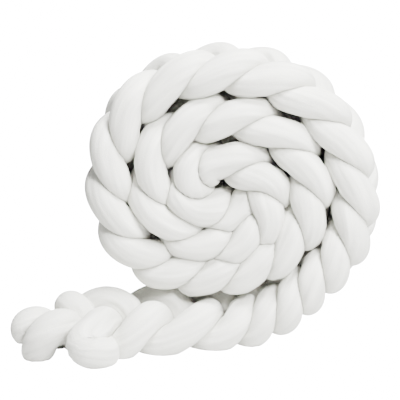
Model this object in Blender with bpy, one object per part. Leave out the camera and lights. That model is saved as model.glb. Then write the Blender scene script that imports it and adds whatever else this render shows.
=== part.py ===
"""A braided crib bumper: three long stuffed plush tubes in a flat braid, rolled up like a belt.

The roll stands on edge, its axis along Y, on its own loose end, which lies along the floor to -X.
Units are metres, +Z is up, and the origin is under the middle of the whole thing's box.

Words used below:
  fold     a tube's turn at the braid's near edge; one tube makes every third fold
  across   from the braid's near edge to its far edge (+Y in the roll)
  outward  from the braid's inner face to its outer face (away from the roll's core)
"""

import math

import bpy
import numpy as np

# One stuffed tube. A row for each place along the braid: the folds passed, then a tube's radius at
# the braid's near edge and at its far edge, before its neighbours press on it.
#    folds  near    far
THICKNESS = (
    (0.0, 0.0310, 0.0460),
    (5.0, 0.0290, 0.0360),
    (18.0, 0.0285, 0.0350),
    (25.0, 0.0285, 0.0300),
    (28.5, 0.0275, 0.0330),
    (31.0, 0.0275, 0.0340),
    (34.0, 0.0275, 0.0315),
    (37.0, 0.0285, 0.0300),
    (39.0, 0.0330, 0.0290),
)
TUBE_COLOUR = (0.86, 0.86, 0.85, 1.0)
TUBE_ROUGHNESS = 0.92

# The braid: how far the middle of a tube swings from the braid's own middle line.
HALF_WIDTH = 0.053
HALF_DEPTH = 0.0125  # in the roll, where the turns press the braid flat
LOOSE_HALF_DEPTH = 0.020  # on the loose end
LOOSENING_FOLDS = (31.0, 35.5)
LEAN = 0.13  # folds by which a tube runs ahead on the outer face, and lags on the inner one
LOOSE_LEAN = 0.09
TUBES = ("tube_a", "tube_b", "tube_c")

# How straight a tube runs along the near edge and along the far one, where so many folds are passed,
# as a share of its swing. Below 0 it turns there more sharply.
#    folds near  far
EDGE_RUN = (
    (28.0, 0.06, 0.06),
    (34.0, 0.0, -0.12),
    (36.7, 0.0, -0.12),
    (37.7, 0.0, 0.0),
)

# The braid's two ends, in folds, and how its tubes draw together there.
FIRST_FOLD = -0.45
LAST_FOLDS = (39.1, 37.65, 38.8)  # for each tube
TAPER_FOLDS = 1.6
END_WIDTH = 0.62

# The last fold of the middle tube lies farther out, and its end is tucked back under the braid.
LOOSE_LOBE = 37  # the fold
LOBE_REACH = 0.6  # in folds
LOBE_SWING = 0.8  # how much farther it swings
LOBE_LEAN = -0.35  # its own lean, in folds
LOBE_AHEAD = 0.15  # folds by which it lies nearer the loose end
LOBE_TUCK = 1.5  # folds by which it goes back, for each fold after the lobe
TUCK_ROUNDING = 0.2  # folds over which it starts to go back

# The roll. A row for each turn: the radius of the braid's middle line at each eighth, clockwise.
ROLL_CENTRE = (0.015, 0.053, 0.2665)
#            right  .      low    .      left   .      top    .
TURN_RADII = (
    (0.092, 0.061, 0.046, 0.038, 0.034, 0.034, 0.040, 0.057),
    (0.095, 0.109, 0.098, 0.092, 0.096, 0.101, 0.110, 0.138),
    (0.167, 0.159, 0.147, 0.160, 0.161, 0.173, 0.182, 0.210),
    (0.236,),
)
# The folds passed at the same places, counted from the core.
TURN_FOLDS = (
    (-0.80, 0.12, 0.75, 1.20, 1.70, 2.20, 2.80, 3.20),
    (4.35, 5.65, 6.90, 7.90, 8.65, 9.55, 10.55, 11.85),
    (13.45, 15.40, 17.15, 18.95, 20.55, 22.20, 23.80, 25.80),
    (28.05,),
)

# The loose end. A row for each place along it: the folds passed, the braid's middle line, and the
# degrees by which the braid's far edge is turned up. Its first rows finish the roll's outer turn.
#    folds   x       y       z       turn
LOOSE_END = (
    (29.5, 0.238, 0.053, 0.1715, 0),
    (31.1, 0.179, 0.053, 0.1020, 3),
    (32.0, 0.147, 0.053, 0.0730, 5),
    (33.0, 0.097, 0.052, 0.0465, 7),
    (34.0, 0.034, 0.038, 0.0390, 9),
    (35.0, -0.045, 0.008, 0.0395, 10),
    (36.0, -0.128, -0.017, 0.0395, 10),
    (37.0, -0.192, -0.053, 0.0395, 9),
    (38.0, -0.232, -0.052, 0.0390, 7),
    (39.3, -0.278, -0.036, 0.0370, 5),
)

# How the tubes press on each other and on the floor.
GAP = 0.0004  # left between two tubes
EDGE_ROUNDING = 0.0060  # of a pressed tube's edges
FIRM_PRESS = 0.0030  # pressed in by more than about this, two tubes lie flat on each other
OWN_REACH = 0.085  # a tube's own length nearer than this, measured along it, doesn't press on it
PRESSING_REACH = 0.095  # a middle line farther off than this doesn't press on a ring
BEND_SHARE = 0.90  # the inner side of a bend stays within this share of its radius

# The mesh.
RINGS_PER_FOLD = 5
SIDES = 12
STATION_STEP = 0.5  # eighths of a turn between two places that the braid's middle line is led through
MIDDLE_STEPS = 6000  # points on the braid's middle line
LINE_STEPS = 40  # points on a tube's middle line for each fold, for the pressing
FACET_PARTS = 4  # steps along a facet's edge at which it is tried against its neighbours
DRAWING_PASSES = 14
LEAST_BEND = 1e-6  # a bend slighter than this, in 1/m, counts as straight
LEAST_FACING = 1e-9  # a ray that points away from a pressing line counts as meeting it far off


def cubic_through(knots, values, at):
    """A natural cubic spline through values (a row for each knot), read at the given places."""
    step = np.diff(knots)
    slope = np.diff(values, axis=0) / step[:, None]
    count = len(knots)
    matrix = np.eye(count)
    right = np.zeros_like(values)
    for i in range(1, count - 1):
        matrix[i, i - 1 : i + 2] = step[i - 1], 2 * (step[i - 1] + step[i]), step[i]
        right[i] = 6 * (slope[i] - slope[i - 1])
    bend = np.linalg.solve(matrix, right)
    i = np.clip(np.searchsorted(knots, at) - 1, 0, count - 2)
    h = step[i][:, None]
    low = (at - knots[i])[:, None]
    high = h - low
    return (
        (bend[i] * high**3 + bend[i + 1] * low**3) / (6 * h)
        + (values[i] / h - bend[i] * h / 6) * high
        + (values[i + 1] / h - bend[i + 1] * h / 6) * low
    )


def middle_line_stations():
    """Places along the braid's middle line: a running number, then x, y, z, folds passed and turn."""
    radii = np.concatenate(TURN_RADII)
    folds = np.concatenate(TURN_FOLDS)
    eighths = np.arange(len(radii), dtype=float)
    fine = np.arange(0, eighths[-1] + STATION_STEP / 2, STATION_STEP)
    radius, passed = cubic_through(eighths, np.stack([radii, folds], 1), fine).T
    clock = fine * math.pi / 4
    x = ROLL_CENTRE[0] + radius * np.cos(clock)
    z = ROLL_CENTRE[2] - radius * np.sin(clock)
    y = np.full_like(x, ROLL_CENTRE[1])
    roll = np.stack([fine, x, y, z, passed, np.zeros_like(x)], 1)
    folds, *place, turn = np.array(LOOSE_END).T
    running = eighths[-1] + STATION_STEP * np.arange(1, len(folds) + 1)
    return np.concatenate([roll, np.stack([running, *place, folds, turn], 1)])


def unit(vectors):
    return vectors / np.linalg.norm(vectors, axis=-1, keepdims=True)


def middle_line(folds):
    """The braid's middle line where so many folds are passed: place, across and outward."""
    stations = middle_line_stations()
    fine = np.linspace(stations[0, 0], stations[-1, 0], MIDDLE_STEPS)
    line = cubic_through(stations[:, 0], stations[:, 1:], fine)
    along = unit(np.gradient(line[:, :3], axis=0))
    at = np.interp(folds, line[:, 3], np.arange(len(fine)))
    place, tangent = (
        np.stack([np.interp(at, np.arange(len(fine)), v[:, i]) for i in range(3)], 1)
        for v in (line[:, :3], along)
    )
    tangent = unit(tangent)
    depth = np.array([0.0, 1.0, 0.0])
    across = unit(depth - tangent * (tangent @ depth)[:, None])
    outward = np.cross(tangent, across)
    turn = np.radians(np.interp(at, np.arange(len(fine)), line[:, 4]))[:, None]
    turned_across = across * np.cos(turn) - outward * np.sin(turn)
    return place, turned_across, outward * np.cos(turn) + across * np.sin(turn)


def loosening(rolled, loose, folds):
    """A value that goes from the roll's to the loose end's, with a smooth step between."""
    start, end = LOOSENING_FOLDS
    step = np.clip((folds - start) / (end - start), 0, 1)
    return rolled + (loose - rolled) * step**2 * (3 - 2 * step)


def swing_phase(tube, folds):
    """The angle of a tube's swing across the braid: -90 degrees at the near edge, 90 at the far."""
    return 2 * math.pi * (folds - tube) / len(TUBES) - math.pi / 2


def by_edge(rows, tube, folds):
    """A value that goes from the near edge's to the far edge's as the tube swings over."""
    row_folds, row_near, row_far = np.array(rows).T
    near, far = np.interp(folds, row_folds, row_near), np.interp(folds, row_folds, row_far)
    nearness = (1 - np.sin(swing_phase(tube, folds))) / 2
    return far + (near - far) * nearness**2


def tube_line(tube, folds):
    """A tube's middle line in the braid, with the braid's outward direction there.

    Across the braid it swings as a sine, once every three folds. Outward it swings twice as often,
    so that the tube goes from the inner face to the outer face round each edge of the braid.
    """
    phase = swing_phase(tube, folds)
    has_lobe = tube == LOOSE_LOBE % len(TUBES)
    past = folds - LOOSE_LOBE
    lobe = has_lobe * np.exp(-((past / LOBE_REACH) ** 2))
    tuck = has_lobe * LOBE_TUCK * (past + np.sqrt(past**2 + TUCK_ROUNDING**2)) / 2
    lean = loosening(LEAN, LOOSE_LEAN, folds)
    lean += (LOBE_LEAN - lean) * lobe
    place, across, outward = middle_line(folds - lean * np.sin(2 * phase) + LOBE_AHEAD * lobe - tuck)
    from_end = np.clip(np.minimum(folds - FIRST_FOLD, LAST_FOLDS[tube] - folds) / TAPER_FOLDS, 0, 1)
    draw = END_WIDTH + (1 - END_WIDTH) * np.sin(from_end * math.pi / 2)
    run = by_edge(EDGE_RUN, tube, folds)
    swing = HALF_WIDTH * draw * (np.sin(phase) + run * np.sin(3 * phase)) / (1 - run)
    swing *= 1 + LOBE_SWING * lobe
    lift = -loosening(HALF_DEPTH, LOOSE_HALF_DEPTH, folds) * draw * np.sin(2 * phase)
    return place + across * swing[:, None] + outward * lift[:, None], outward


def along_line(line):
    """The length passed at each point of a line."""
    return np.concatenate([[0], np.cumsum(np.linalg.norm(np.diff(line, axis=0), axis=1))])


def split_line(line, length, place):
    """A line's points near a place along it, and its points far from there."""
    far = np.abs(length - place) > OWN_REACH
    return line[~far], line[far]


def within(points, centre, reach):
    return points[((points - centre) ** 2).sum(1) < reach**2]


def soft_least(a, b):
    """The smaller of a and b, with the corner between them rounded where b isn't well below a."""
    rounding = EDGE_ROUNDING / (1 + (np.maximum(a - b, 0) / FIRM_PRESS) ** 2) ** 2
    return (a + b - np.sqrt((a - b) ** 2 + 4 * rounding**2)) / 2


def pressed_radius(centre, ray, free, pressing):
    """How far a tube's skin is from its middle along each ray of one ring.

    A pressing line's point at q, seen from the ring's centre, holds the skin back at the plane
    halfway to it, which the ray u meets at |q|^2 / (2 u.q).
    """
    q = pressing - centre
    if not len(q):
        return np.full(len(ray), free)
    facing = np.maximum(ray @ q.T, LEAST_FACING)
    halfway = ((q**2).sum(1) / (2 * facing)).min(1) - GAP / 2
    return soft_least(np.full(len(ray), free), halfway)


def facet_spread(parts):
    """Places on a quad a, b, c, d cut along a-c, as the weights of its corners."""
    rows = []
    for i in range(parts + 1):
        for j in range(parts + 1 - i):
            first, second = i / parts, j / parts
            rows.append((first, second, 1 - first - second, 0))
            rows.append((first, 0, 1 - first - second, second))
    return np.array(rows)


def nearest(points, line):
    return np.sqrt(((points[..., None, :] - line) ** 2).sum(-1).min(-1))


def draw_in(centres, rays, radius, own, pressing):
    """Draws rings in until no flat facet between them crosses the halfway surface."""
    spread = facet_spread(FACET_PARTS)
    share = spread / (spread**2).sum(1, keepdims=True)
    moved = np.full(len(centres), True)
    for _ in range(DRAWING_PASSES):
        skin = centres[:, None] + rays * radius[..., None]
        pull = np.zeros_like(radius)
        for i in range(len(skin) - 1):
            if not len(pressing[i]) or not moved[i : i + 2].any():
                continue
            low, high = skin[i], skin[i + 1]
            corners = np.stack([low, np.roll(low, -1, 0), np.roll(high, -1, 0), high], 1)
            places = spread @ corners
            over = (nearest(places, own[i]) - nearest(places, pressing[i]) + GAP) / 2
            most = (np.maximum(over, 0)[..., None] * share).max(1)
            pull[i] = np.maximum(pull[i], np.maximum(most[:, 0], np.roll(most[:, 1], 1)))
            pull[i + 1] = np.maximum(pull[i + 1], np.maximum(most[:, 3], np.roll(most[:, 2], 1)))
        radius = np.maximum(radius - pull, 0)
        moved = pull.max(1) > 0
    return radius


def tube_skin(tube):
    """The rings of one tube's skin, and its two tips."""
    runs = [last - FIRST_FOLD for last in LAST_FOLDS]
    folds = np.linspace(FIRST_FOLD, LAST_FOLDS[tube], round(runs[tube] * RINGS_PER_FOLD) + 1)
    fine = [np.linspace(FIRST_FOLD, FIRST_FOLD + run, round(run * LINE_STEPS)) for run in runs]
    lines = [tube_line(k, fine[k])[0] for k in range(len(TUBES))]
    others = [line for k, line in enumerate(lines) if k != tube]
    length = along_line(lines[tube])
    centres, outward = tube_line(tube, folds)
    places = np.interp(folds, fine[tube], length)
    tangent = unit(np.gradient(centres, axis=0))
    up = unit(outward - tangent * (outward * tangent).sum(1, keepdims=True))
    side = np.cross(tangent, up)
    bend = np.gradient(tangent, axis=0) / np.gradient(places)[:, None]
    angle = 2 * math.pi * (np.arange(SIDES) + 0.5) / SIDES
    rays = np.cos(angle)[:, None] * up[:, None] + np.sin(angle)[:, None] * side[:, None]
    free = by_edge(THICKNESS, tube, folds)
    own, pressing, radius = [], [], []
    for i, centre in enumerate(centres):
        near, far = split_line(lines[tube], length, places[i])
        own.append(near)
        pressing.append(within(np.concatenate([far, *others]), centre, PRESSING_REACH))
        ring = pressed_radius(centre, rays[i], free[i], pressing[i])
        ring = soft_least(ring, BEND_SHARE / np.maximum(rays[i] @ bend[i], LEAST_BEND))
        from_tip = min(places[i], length[-1] - places[i])
        radius.append(ring * math.sqrt(max(1 - max(1 - from_tip / free[i], 0) ** 2, 0)))
    radius = draw_in(centres, rays, np.array(radius), own, pressing)
    skin = (centres[:, None] + rays * radius[..., None])[1:-1]
    skin[..., 2] = np.maximum(skin[..., 2], 0)
    return skin, centres[0], centres[-1]


def tube_mesh(name, skin, first_tip, last_tip):
    """A closed mesh: two triangles to each step round and along, and a fan at each tip."""
    rings, sides = skin.shape[:2]
    points = np.concatenate([skin.reshape(-1, 3), [first_tip, last_tip]])
    ring, side = np.meshgrid(np.arange(rings - 1), np.arange(sides), indexing="ij")
    here = ring * sides + side
    beside = ring * sides + (side + 1) % sides
    corners = here, beside, beside + sides, here + sides
    facets = np.stack([corners[i] for i in (0, 1, 2, 0, 2, 3)], -1).reshape(-1, 3)
    around = np.arange(sides)
    following = (around + 1) % sides
    tip = rings * sides
    first = np.stack([following, around, np.full(sides, tip)], 1)
    base = tip - sides
    last = np.stack([base + around, base + following, np.full(sides, tip + 1)], 1)
    mesh = bpy.data.meshes.new(name)
    mesh.from_pydata(points.tolist(), [], np.concatenate([facets, first, last]).tolist())
    mesh.shade_smooth()
    return mesh


def plush(name):
    material = bpy.data.materials.new(name)
    material.use_nodes = True
    shader = material.node_tree.nodes["Principled BSDF"]
    shader.inputs["Base Color"].default_value = TUBE_COLOUR
    shader.inputs["Roughness"].default_value = TUBE_ROUGHNESS
    shader.inputs["Metallic"].default_value = 0.0
    return material


def main():
    for old in list(bpy.data.objects):
        bpy.data.objects.remove(old, do_unlink=True)
    for number, name in enumerate(TUBES):
        mesh = tube_mesh(name, *tube_skin(number))
        mesh.materials.append(plush(name + "_plush"))
        bpy.context.scene.collection.objects.link(bpy.data.objects.new(name, mesh))


main()
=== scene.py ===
import math

import bpy
import numpy as np
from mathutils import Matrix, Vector


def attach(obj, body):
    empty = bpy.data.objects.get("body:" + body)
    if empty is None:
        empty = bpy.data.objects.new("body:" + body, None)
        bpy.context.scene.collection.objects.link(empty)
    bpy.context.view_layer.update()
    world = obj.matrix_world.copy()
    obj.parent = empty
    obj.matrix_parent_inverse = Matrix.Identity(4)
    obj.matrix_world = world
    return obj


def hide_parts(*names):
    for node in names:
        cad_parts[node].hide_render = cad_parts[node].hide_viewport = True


# Looks for the braided crib bumper: three stuffed plush tubes in a flat braid, rolled up like a belt
# and stood on edge on their own loose end. Metres, +Z up, the roll's axis along Y.
# A fold is a tube's turn at the braid's near edge; one tube makes every third fold.

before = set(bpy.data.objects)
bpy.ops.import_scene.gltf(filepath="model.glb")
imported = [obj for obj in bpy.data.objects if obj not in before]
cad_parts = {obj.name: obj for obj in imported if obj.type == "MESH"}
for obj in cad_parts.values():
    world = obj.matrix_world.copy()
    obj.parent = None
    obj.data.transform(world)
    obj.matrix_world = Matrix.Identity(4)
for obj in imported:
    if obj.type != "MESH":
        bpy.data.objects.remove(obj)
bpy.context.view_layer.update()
print("stage: frame loaded, nodes", ", ".join(sorted(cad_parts)))

# Where the picture is taken from.
view = {
    "elevation": 11.0,  # degrees above the surface
    "azimuth": 3.5,  # degrees, camera to the +X side
    "distance": 2.2,
    "aimAt": (0.015, 0.0, 0.2665),  # the middle of the roll's near face
    "aimPixel": (208, 187),  # where that shows in the 400 x 400 picture
    "metresPerPixel": 0.00162,
    "picture": 400,
    "sensor": 36.0,  # mm
}


# The camera stands at aimAt + distance * back, with back = (sin a cos e, -cos a cos e, sin e).
def makeCamera(spec):
    e, a = math.radians(spec["elevation"]), math.radians(spec["azimuth"])
    back = Vector((math.sin(a) * math.cos(e), -math.cos(a) * math.cos(e), math.sin(e)))
    data = bpy.data.cameras.new("camera")
    data.sensor_width = spec["sensor"]
    data.lens = spec["sensor"] * spec["distance"] / (spec["picture"] * spec["metresPerPixel"])
    middle = spec["picture"] / 2
    data.shift_x = (middle - spec["aimPixel"][0]) / spec["picture"]
    data.shift_y = (spec["aimPixel"][1] - middle) / spec["picture"]
    camera = bpy.data.objects.new("camera", data)
    camera.location = Vector(spec["aimAt"]) + back * spec["distance"]
    camera.rotation_euler = (-back).to_track_quat("-Z", "Y").to_euler()
    bpy.context.scene.collection.objects.link(camera)
    bpy.context.scene.camera = camera


makeCamera(view)
print("stage: camera")

# How the three tubes are braided and rolled up.
braid = {
    "halfWidth": 0.053,  # how far the middle of a tube swings across from the braid's middle line
    "halfDepth": 0.0125,  # the same outwards, in the roll, where the turns press the braid flat
    "looseHalfDepth": 0.020,  # and on the loose end
    "loosening": (31.0, 35.5),  # folds between which it turns from the one into the other
    "edgeRun": (  # folds, then how straight a tube runs along the near edge and the far one
        (28.0, 0.06, 0.06),
        (34.0, 0.0, -0.12),  # below 0 it turns there more sharply
        (36.7, 0.0, -0.12),
        (37.7, 0.0, 0.0),
    ),
    "lean": 0.13,  # folds by which a tube runs ahead on the outer face and lags on the inner one
    "looseLean": 0.09,
    "first": -0.45,  # the braid's ends, in folds
    "last": (39.1, 37.65, 38.8),  # for each tube
    "looseLobe": 37.0,  # a fold near the end that lies farther out, its tube then tucked back under
    "lobeReach": 0.6,  # in folds
    "lobeSwing": 0.8,  # how much farther it swings
    "lobeLean": -0.35,  # its own lean, in folds
    "lobeAhead": 0.15,  # folds by which it lies nearer the loose end
    "lobeTuck": 1.5,  # folds by which it goes back, for each fold after the lobe
    "lobeRound": 0.2,  # folds over which it starts to go back
    "taper": 1.6,  # folds over which the tubes draw together at an end
    "endWidth": 0.62,
    "rollCentre": (0.015, 0.053, 0.2665),
    "turnRadii": (  # of the braid's middle line at each eighth of a turn, clockwise from the right
        (0.092, 0.061, 0.046, 0.038, 0.034, 0.034, 0.040, 0.057),
        (0.095, 0.109, 0.098, 0.092, 0.096, 0.101, 0.110, 0.138),
        (0.167, 0.159, 0.147, 0.160, 0.161, 0.173, 0.182, 0.210),
        (0.236,),
    ),
    "turnFolds": (  # folds passed at the same places
        (-0.80, 0.12, 0.75, 1.20, 1.70, 2.20, 2.80, 3.20),
        (4.35, 5.65, 6.90, 7.90, 8.65, 9.55, 10.55, 11.85),
        (13.45, 15.40, 17.15, 18.95, 20.55, 22.20, 23.80, 25.80),
        (28.05,),
    ),
    "looseEnd": (  # folds, x, y, z, degrees that its far edge is turned up; it finishes the outer turn
        (29.5, 0.238, 0.053, 0.1715, 0),
        (31.1, 0.179, 0.053, 0.1020, 3),
        (32.0, 0.147, 0.053, 0.0730, 5),
        (33.0, 0.097, 0.052, 0.0465, 7),
        (34.0, 0.034, 0.038, 0.0390, 9),
        (35.0, -0.045, 0.008, 0.0395, 10),
        (36.0, -0.128, -0.017, 0.0395, 10),
        (37.0, -0.192, -0.053, 0.0395, 9),
        (38.0, -0.232, -0.052, 0.0390, 7),
        (39.3, -0.278, -0.036, 0.0370, 5),
    ),
    "stationStep": 0.5,  # eighths of a turn between the places that the middle line is led through
    "middleSteps": 6000,  # points on the middle line
}


# Natural cubic spline through a row of values at each knot, read at the given places.
def cubicThrough(knots, values, at):
    step = np.diff(knots)
    slope = np.diff(values, axis=0) / step[:, None]
    inner = np.arange(1, len(knots) - 1)
    matrix = np.eye(len(knots))
    matrix[inner, inner - 1] = step[:-1]
    matrix[inner, inner] = 2 * (step[:-1] + step[1:])
    matrix[inner, inner + 1] = step[1:]
    right = np.zeros_like(values)
    right[inner] = 6 * np.diff(slope, axis=0)
    bend = np.linalg.solve(matrix, right)
    i = np.clip(np.searchsorted(knots, at) - 1, 0, len(knots) - 2)
    h = step[i][:, None]
    low = (at - knots[i])[:, None]
    high = h - low
    return (
        (bend[i] * high**3 + bend[i + 1] * low**3) / (6 * h)
        + (values[i] / h - bend[i] * h / 6) * high
        + (values[i + 1] / h - bend[i + 1] * h / 6) * low
    )


def unit(vectors):
    return vectors / np.linalg.norm(vectors, axis=-1, keepdims=True)


# The braid's middle line as a dense list: x, y, z, folds passed and turn. In the roll it is the spiral
# centre + radius * (cos clock, -sin clock), its radius and folds splined through the turns' rows.
def middleLineDense(spec):
    radii, folds = np.concatenate(spec["turnRadii"]), np.concatenate(spec["turnFolds"])
    eighths = np.arange(len(radii), dtype=float)
    step = spec["stationStep"]
    fine = np.arange(0, eighths[-1] + step / 2, step)
    radius, passed = cubicThrough(eighths, np.stack([radii, folds], 1), fine).T
    clock = fine * math.pi / 4
    cx, cy, cz = spec["rollCentre"]
    level = 0 * radius
    roll = [cx + radius * np.cos(clock), cy + level, cz - radius * np.sin(clock), passed, level]
    loose = np.array(spec["looseEnd"])
    running = np.concatenate([fine, eighths[-1] + step * np.arange(1, len(loose) + 1)])
    stations = np.concatenate([np.stack(roll, 1), loose[:, [1, 2, 3, 0, 4]]])
    return cubicThrough(running, stations, np.linspace(running[0], running[-1], spec["middleSteps"]))


denseLine = middleLineDense(braid)
denseAlong = unit(np.gradient(denseLine[:, :3], axis=0))


# Place, across and outward where so many folds are passed. Across is +Y made square to the line,
# and outward is along x across: away from the roll's core, and down on the loose end. There both
# are turned about the line: across cos t - outward sin t, and outward cos t + across sin t.
def middleLine(folds):
    index = np.arange(len(denseLine))
    at = np.interp(folds, denseLine[:, 3], index)
    place = np.stack([np.interp(at, index, denseLine[:, i]) for i in range(3)], 1)
    tangent = unit(np.stack([np.interp(at, index, denseAlong[:, i]) for i in range(3)], 1))
    depth = np.array([0.0, 1.0, 0.0])
    across = unit(depth - tangent * (tangent @ depth)[:, None])
    outward = np.cross(tangent, across)
    turn = np.radians(np.interp(at, index, denseLine[:, 4]))[:, None]
    turnedAcross = across * np.cos(turn) - outward * np.sin(turn)
    return place, turnedAcross, outward * np.cos(turn) + across * np.sin(turn)


# 0 in the roll and 1 on the loose end: the smooth step 3t^2 - 2t^3.
def loosened(folds):
    start, end = braid["loosening"]
    t = np.clip((folds - start) / (end - start), 0, 1)
    return t**2 * (3 - 2 * t)


# A value from rows of folds, near edge's value and far edge's: far + (near - far) * nearness^2,
# where nearness = (1 - sin phase) / 2 is 1 at the near edge and 0 at the far one.
def byEdge(rows, folds, phase):
    rowFolds, rowNear, rowFar = np.array(rows).T
    near, far = np.interp(folds, rowFolds, rowNear), np.interp(folds, rowFolds, rowFar)
    return far + (near - far) * ((1 - np.sin(phase)) / 2) ** 2


# A tube's middle line: across it swings as sin(phase), once every three folds, and outwards as
# -sin(2 phase), so that it goes from the inner face to the outer face round each edge.
def tubeLine(number, folds):
    phase = 2 * math.pi * (folds - number) / 3 - math.pi / 2
    past = folds - braid["looseLobe"]
    hasLobe = number == braid["looseLobe"] % 3
    slack = hasLobe * np.exp(-((past / braid["lobeReach"]) ** 2))
    tuck = hasLobe * braid["lobeTuck"] * (past + np.sqrt(past**2 + braid["lobeRound"] ** 2)) / 2
    tuck -= braid["lobeAhead"] * slack
    lean = braid["lean"] + (braid["looseLean"] - braid["lean"]) * loosened(folds)
    lean += (braid["lobeLean"] - lean) * slack
    place, across, outward = middleLine(folds - lean * np.sin(2 * phase) - tuck)
    toEnd = np.minimum(folds - braid["first"], braid["last"][number] - folds)
    fromEnd = np.clip(toEnd / braid["taper"], 0, 1)
    draw = braid["endWidth"] + (1 - braid["endWidth"]) * np.sin(fromEnd * math.pi / 2)
    run = byEdge(braid["edgeRun"], folds, phase)
    swing = braid["halfWidth"] * draw * (np.sin(phase) + run * np.sin(3 * phase)) / (1 - run)
    swing *= 1 + braid["lobeSwing"] * slack
    deep = braid["halfDepth"] + (braid["looseHalfDepth"] - braid["halfDepth"]) * loosened(folds)
    lift = -deep * draw * np.sin(2 * phase)
    return place + across * swing[:, None] + outward * lift[:, None], outward


# One stuffed tube, and how its neighbours press on it.
tube = {
    "names": ("tube_a", "tube_b", "tube_c"),
    "thickness": (  # folds, then the radius at the braid's near edge and at its far one, unpressed
        (0.0, 0.0310, 0.0460),
        (5.0, 0.0290, 0.0360),
        (18.0, 0.0285, 0.0350),
        (25.0, 0.0285, 0.0300),
        (28.5, 0.0275, 0.0330),
        (31.0, 0.0275, 0.0340),
        (34.0, 0.0275, 0.0315),
        (37.0, 0.0285, 0.0300),
        (39.0, 0.0330, 0.0290),
    ),
    "gap": 0.0003,  # between two tubes
    "edgeRounding": 0.0042,  # of a pressed tube's edges
    "firmPress": 0.0030,  # pressed in by more than about this, two tubes lie flat on each other
    "ownReach": 0.085,  # own length nearer than this doesn't press
    "pressingReach": 0.095,  # a line farther off than this doesn't press
    "bendShare": 0.90,  # the inner side of a bend stays within this share of its radius
    "rings": 1400,
    "sides": 64,
    "lineSteps": 60,  # points on a middle line for each fold
    "ringsAtOnce": 20,  # rings whose pressing is worked out together
    "leastFacing": 1e-9,  # a ray that points away from a neighbour meets it far off
    "leastBend": 1e-6,  # a slighter bend, in 1/m, counts as straight
    "farOff": 1.0,  # reach of a ray that meets no neighbour
    "fill": 0.75,  # how full the tube is stuffed
}


def alongLine(line):
    return np.concatenate([[0], np.cumsum(np.linalg.norm(np.diff(line, axis=0), axis=1))])


# The smaller of a and b with the corner between them rounded, (a + b - sqrt((a - b)^2 + 4 r^2)) / 2,
# where r falls off as b gets well below a: r = rounding / (1 + ((a - b) / firm)^2)^2.
def softLeast(a, b, rounding, firm):
    r = rounding / (1 + (np.maximum(a - b, 0) / firm) ** 2) ** 2
    return (a + b - np.sqrt((a - b) ** 2 + 4 * r**2)) / 2


# How far the skin may go along each ray u before it meets a neighbour. A neighbour's point at q,
# seen from the ring's centre, holds the skin at the plane halfway to it: |q|^2 / (2 u.q).
def pressedReach(centres, rays, places, lines, number, ownPlaces):
    reach = np.full(rays.shape[:2], np.inf)
    points = np.concatenate(lines)
    ownPlace = np.full(len(points), np.inf)
    first = sum(len(line) for line in lines[:number])
    ownPlace[first : first + len(ownPlaces)] = ownPlaces
    for start in range(0, len(centres), tube["ringsAtOnce"]):
        part = slice(start, start + tube["ringsAtOnce"])
        middle = centres[part].mean(0)
        span = np.linalg.norm(centres[part] - middle, axis=1).max() + tube["pressingReach"]
        close = ((points - middle) ** 2).sum(1) < span**2
        q = points[close] - centres[part][:, None]
        square = (q**2).sum(-1)
        facing = np.maximum(np.einsum("rsk,rpk->rsp", rays[part], q), tube["leastFacing"])
        idle = np.abs(ownPlace[close] - places[part][:, None]) < tube["ownReach"]
        square = np.where(idle | (square > tube["pressingReach"] ** 2), np.inf, square)
        reach[part] = (square[:, None] / (2 * facing)).min(-1) - tube["gap"] / 2
    return reach


# A tube's skin: centre + ray * radius on a grid of places along it and angles round it, and its own
# straightened coordinates (length, radius cos angle, radius sin angle) for the pile.
def tubeSkin(number):
    steps = [round((last - braid["first"]) * tube["lineSteps"]) for last in braid["last"]]
    fine = [np.linspace(braid["first"], last, count) for last, count in zip(braid["last"], steps)]
    lines = [tubeLine(k, fine[k])[0] for k in range(3)]
    length = alongLine(lines[number])
    places = np.linspace(0, length[-1], tube["rings"])
    folds = np.interp(places, length, fine[number])
    centres, outward = tubeLine(number, folds)
    tangent = unit(np.gradient(centres, axis=0))
    up = unit(outward - tangent * (outward * tangent).sum(1, keepdims=True))
    side = np.cross(tangent, up)
    angle = 2 * math.pi * (np.arange(tube["sides"]) + 0.5) / tube["sides"]
    rays = np.cos(angle)[:, None] * up[:, None] + np.sin(angle)[:, None] * side[:, None]
    phase = 2 * math.pi * (folds - number) / 3 - math.pi / 2
    free = byEdge(tube["thickness"], folds, phase)
    reach = pressedReach(centres, rays, places, lines, number, length)
    soft = tube["edgeRounding"], tube["firmPress"]
    radius = softLeast(free[:, None], np.minimum(reach, tube["farOff"]), *soft)
    bend = np.gradient(tangent, axis=0) / np.gradient(places)[:, None]
    inside = np.maximum(np.einsum("rsk,rk->rs", rays, bend), tube["leastBend"])
    radius = softLeast(radius, tube["bendShare"] / inside, *soft)
    fromTip = np.minimum(places, length[-1] - places) / free
    radius *= np.sqrt(1 - np.maximum(1 - fromTip, 0) ** 2)[:, None]
    skin = centres[:, None] + rays * radius[..., None]
    skin[..., 2] = np.maximum(skin[..., 2], 0)
    aroundTube = free[:, None] * np.cos(angle), free[:, None] * np.sin(angle)
    own = np.stack([places[:, None] + 0 * angle, *aroundTube], -1)
    return skin[1:-1], own[1:-1], centres[0], centres[-1], length[-1]


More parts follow.
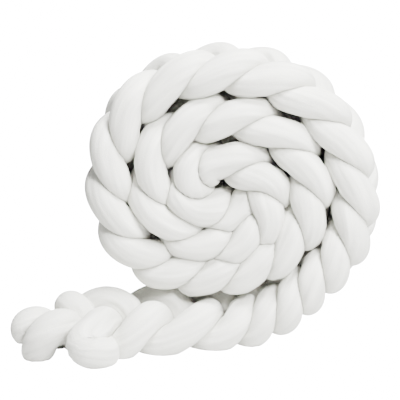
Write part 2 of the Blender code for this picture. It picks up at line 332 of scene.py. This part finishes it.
# A closed mesh from a grid of rings: quads between the rings, and a fan of triangles at each tip.
def ringMesh(name, skin, own, firstTip, lastTip, length):
    rings, sides = skin.shape[:2]
    points = np.concatenate([skin.reshape(-1, 3), [firstTip, lastTip]])
    ring, side = np.meshgrid(np.arange(rings - 1), np.arange(sides), indexing="ij")
    here, beside = ring * sides + side, ring * sides + (side + 1) % sides
    quads = np.stack([here, beside, beside + sides, here + sides], -1).reshape(-1, 4)
    around = np.arange(sides)
    following = (around + 1) % sides
    tip, base = rings * sides, (rings - 1) * sides
    firstFan = np.stack([following, around, np.full(sides, tip)], 1)
    lastFan = np.stack([base + around, base + following, np.full(sides, tip + 1)], 1)
    mesh = bpy.data.meshes.new(name)
    mesh.from_pydata(points.tolist(), [], quads.tolist() + firstFan.tolist() + lastFan.tolist())
    mesh.shade_smooth()
    place = np.concatenate([own.reshape(-1, 3), [(0, 0, 0), (length, 0, 0)]])
    mesh.attributes.new("tubePlace", "FLOAT_VECTOR", "POINT").data.foreach_set("vector", place.ravel())
    return mesh


# The cloth: short-pile plush.
plush = {
    "colour": (0.825, 0.825, 0.76),
    "shade": (0.615, 0.615, 0.567),  # the darker end of the tone: painted shade in the streaks along the tube, which stand for soft folds and the pile lying the other way, and random tone in the patches and fibre tips
    "roughness": 0.92,
    "sheen": 0.15,
    "sheenRoughness": 0.5,
    "specular": 0.2,
    "fibreSize": 0.0011,
    "napSize": 0.012,
    "patchSize": 0.06,
    "wrinkleSize": 0.018,  # soft folds of the loose cover, which run along the tube
    "alongScale": (0.15, 1.0, 1.0),  # nap and wrinkles are drawn out along the tube
    "paintedStreakShare": 0.75,  # shares of the streaks, which paint shade along the tube, and of the fibre tips in the tone
    "fibreTone": 0.2,
    "napHeight": 0.45,  # shares of the streaks and the wrinkles in the height
    "wrinkleShare": 0.75,
    "bump": 0.8,
    "bumpDepth": 0.012,
    "fibreDetail": 1.0,
    "napDetail": 3.0,
    "patchDetail": 2.0,
    "wrinkleDetail": 1.0,
    "shadeBelow": 0.35,  # tones between which the cloth goes from the painted shade to colour
    "colourAbove": 0.65,
    "pileShift": 0.7,  # along the tube, so that no two tubes have the same pile
}


def node(tree, kind, **values):
    made = tree.nodes.new(kind)
    for name, value in values.items():
        setattr(made, name, value)
    return made


# Pile from four noises: fine fibre tips, brushed streaks (the nap), large soft patches and wrinkles.
# mixed(a, b, share) is (1 - share) * a + share * b. The tone mixes the nap into the patches and the
# fibre into both, and the height mixes the nap into the fibre and the wrinkles into both. The nap's
# streaks in the tone are painted shade of soft folds along the tube.
def makePileGroup(spec):
    group = bpy.data.node_groups.new("pile", "ShaderNodeTree")
    for name, kind in (("Place", "NodeSocketVector"), ("Fibre Scale", "NodeSocketFloat"),
                       ("Nap Scale", "NodeSocketFloat"), ("Patch Scale", "NodeSocketFloat"),
                       ("Wrinkle Scale", "NodeSocketFloat")):
        group.interface.new_socket(name, in_out="INPUT", socket_type=kind)
    for name in ("Tone", "Height"):
        group.interface.new_socket(name, in_out="OUTPUT", socket_type="NodeSocketFloat")
    start, end = node(group, "NodeGroupInput"), node(group, "NodeGroupOutput")
    link = group.links.new

    def noise(vector, scale, detail):
        made = node(group, "ShaderNodeTexNoise")
        made.inputs["Detail"].default_value = detail
        link(vector, made.inputs["Vector"])
        link(start.outputs[scale], made.inputs["Scale"])
        return made.outputs["Fac"]

    stretch = node(group, "ShaderNodeMapping", vector_type="POINT")
    stretch.inputs["Scale"].default_value = spec["alongScale"]
    link(start.outputs["Place"], stretch.inputs["Vector"])
    fibre = noise(start.outputs["Place"], "Fibre Scale", spec["fibreDetail"])
    nap = noise(stretch.outputs["Vector"], "Nap Scale", spec["napDetail"])
    patch = noise(start.outputs["Place"], "Patch Scale", spec["patchDetail"])
    wrinkle = noise(stretch.outputs["Vector"], "Wrinkle Scale", spec["wrinkleDetail"])

    def mixed(a, b, share):
        made = node(group, "ShaderNodeMix", data_type="FLOAT")
        made.inputs["Factor"].default_value = share
        link(a, made.inputs["A"])
        link(b, made.inputs["B"])
        return made.outputs["Result"]

    # The streaks in the tone paint shade along the tube into the colour; the patches and fibre tips
    # are random tone.
    tone = mixed(mixed(patch, nap, spec["paintedStreakShare"]), fibre, spec["fibreTone"])
    height = mixed(mixed(fibre, nap, spec["napHeight"]), wrinkle, spec["wrinkleShare"])
    link(tone, end.inputs["Tone"])
    link(height, end.inputs["Height"])
    return group


def makePlush(name, spec, pile, start):
    material = bpy.data.materials.new(name)
    material.use_nodes = True
    tree = material.node_tree
    link = tree.links.new
    shader = tree.nodes["Principled BSDF"]
    shader.inputs["Roughness"].default_value = spec["roughness"]
    shader.inputs["Sheen Weight"].default_value = spec["sheen"]
    shader.inputs["Sheen Roughness"].default_value = spec["sheenRoughness"]
    shader.inputs["Specular IOR Level"].default_value = spec["specular"]
    place = node(tree, "ShaderNodeAttribute", attribute_name="tubePlace")
    shift = node(tree, "ShaderNodeMapping", vector_type="POINT")
    shift.inputs["Location"].default_value = start
    link(place.outputs["Vector"], shift.inputs["Vector"])
    group = node(tree, "ShaderNodeGroup", node_tree=pile)
    group.inputs["Fibre Scale"].default_value = 1 / spec["fibreSize"]
    group.inputs["Nap Scale"].default_value = 1 / spec["napSize"]
    group.inputs["Patch Scale"].default_value = 1 / spec["patchSize"]
    group.inputs["Wrinkle Scale"].default_value = 1 / spec["wrinkleSize"]
    link(shift.outputs["Vector"], group.inputs["Place"])
    # The ramp paints the streaks' shade into the base colour: the shade where the tone is low, the
    # colour where it is high.
    ramp = node(tree, "ShaderNodeValToRGB")
    low, high = ramp.color_ramp.elements
    low.position, low.color = spec["shadeBelow"], (*spec["shade"], 1)
    high.position, high.color = spec["colourAbove"], (*spec["colour"], 1)
    link(group.outputs["Tone"], ramp.inputs["Fac"])
    link(ramp.outputs["Color"], shader.inputs["Base Color"])
    bump = node(tree, "ShaderNodeBump")
    bump.inputs["Strength"].default_value = spec["bump"]
    bump.inputs["Distance"].default_value = spec["bumpDepth"]
    link(group.outputs["Height"], bump.inputs["Height"])
    link(bump.outputs["Normal"], shader.inputs["Normal"])
    return material


pile = makePileGroup(plush)
print("stage: pile group")

for number, name in enumerate(tube["names"]):
    mesh = ringMesh("plush_" + name, *tubeSkin(number))
    start = (plush["pileShift"] * number, 0, 0)
    mesh.materials.append(makePlush("plush_" + name, plush, pile, start))
    piece = bpy.data.objects.new("plush_" + name, mesh)
    bpy.context.scene.collection.objects.link(piece)
    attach(piece, "root")
    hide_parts(name)
    print("stage:", piece.name, len(mesh.vertices), "points")

# A white sweep and soft light from the upper right.
studio = {
    "floorSize": 60.0,
    "floorColour": (0.6, 0.6, 0.6, 1.0),
    "floorRoughness": 0.9,
    "floorGlow": 20.0,  # what the camera sees of a white sweep lit from behind
    "skyStrength": 0.42,
    "lights": (  # name, place, looks at, size, power
        ("top", (0.5, -0.5, 2.2), (0.1, 0.0, 0.3), 0.8, 205.0),
        ("front", (1.25, -1.6, 1.65), (0.1, 0.0, 0.3), 0.7, 222.0),
    ),
}


def makeStudio(spec):
    half = spec["floorSize"] / 2
    mesh = bpy.data.meshes.new("floor")
    corners = [(-half, -half, 0), (half, -half, 0), (half, half, 0), (-half, half, 0)]
    mesh.from_pydata(corners, [], [(0, 1, 2, 3)])
    material = bpy.data.materials.new("floor")
    material.use_nodes = True
    shader = material.node_tree.nodes["Principled BSDF"]
    shader.inputs["Base Color"].default_value = spec["floorColour"]
    shader.inputs["Roughness"].default_value = spec["floorRoughness"]
    shader.inputs["Emission Strength"].default_value = spec["floorGlow"]
    rays = node(material.node_tree, "ShaderNodeLightPath")  # it glows for the camera, not on the braid
    material.node_tree.links.new(rays.outputs["Is Camera Ray"], shader.inputs["Emission Color"])
    mesh.materials.append(material)
    floor = bpy.data.objects.new("floor", mesh)
    bpy.context.scene.collection.objects.link(floor)
    world = bpy.data.worlds.new("studio")
    world.use_nodes = True
    sky = world.node_tree.nodes["Background"]
    sky.inputs["Color"].default_value = (1, 1, 1, 1)
    sky.inputs["Strength"].default_value = spec["skyStrength"]
    bpy.context.scene.world = world
    for name, place, aim, size, power in spec["lights"]:
        light = bpy.data.lights.new(name, "AREA")
        light.size = size
        light.energy = power
        lamp = bpy.data.objects.new(name, light)
        lamp.location = place
        lamp.rotation_euler = (Vector(aim) - Vector(place)).to_track_quat("-Z", "Y").to_euler()
        bpy.context.scene.collection.objects.link(lamp)


makeStudio(studio)
print("stage: floor and light")
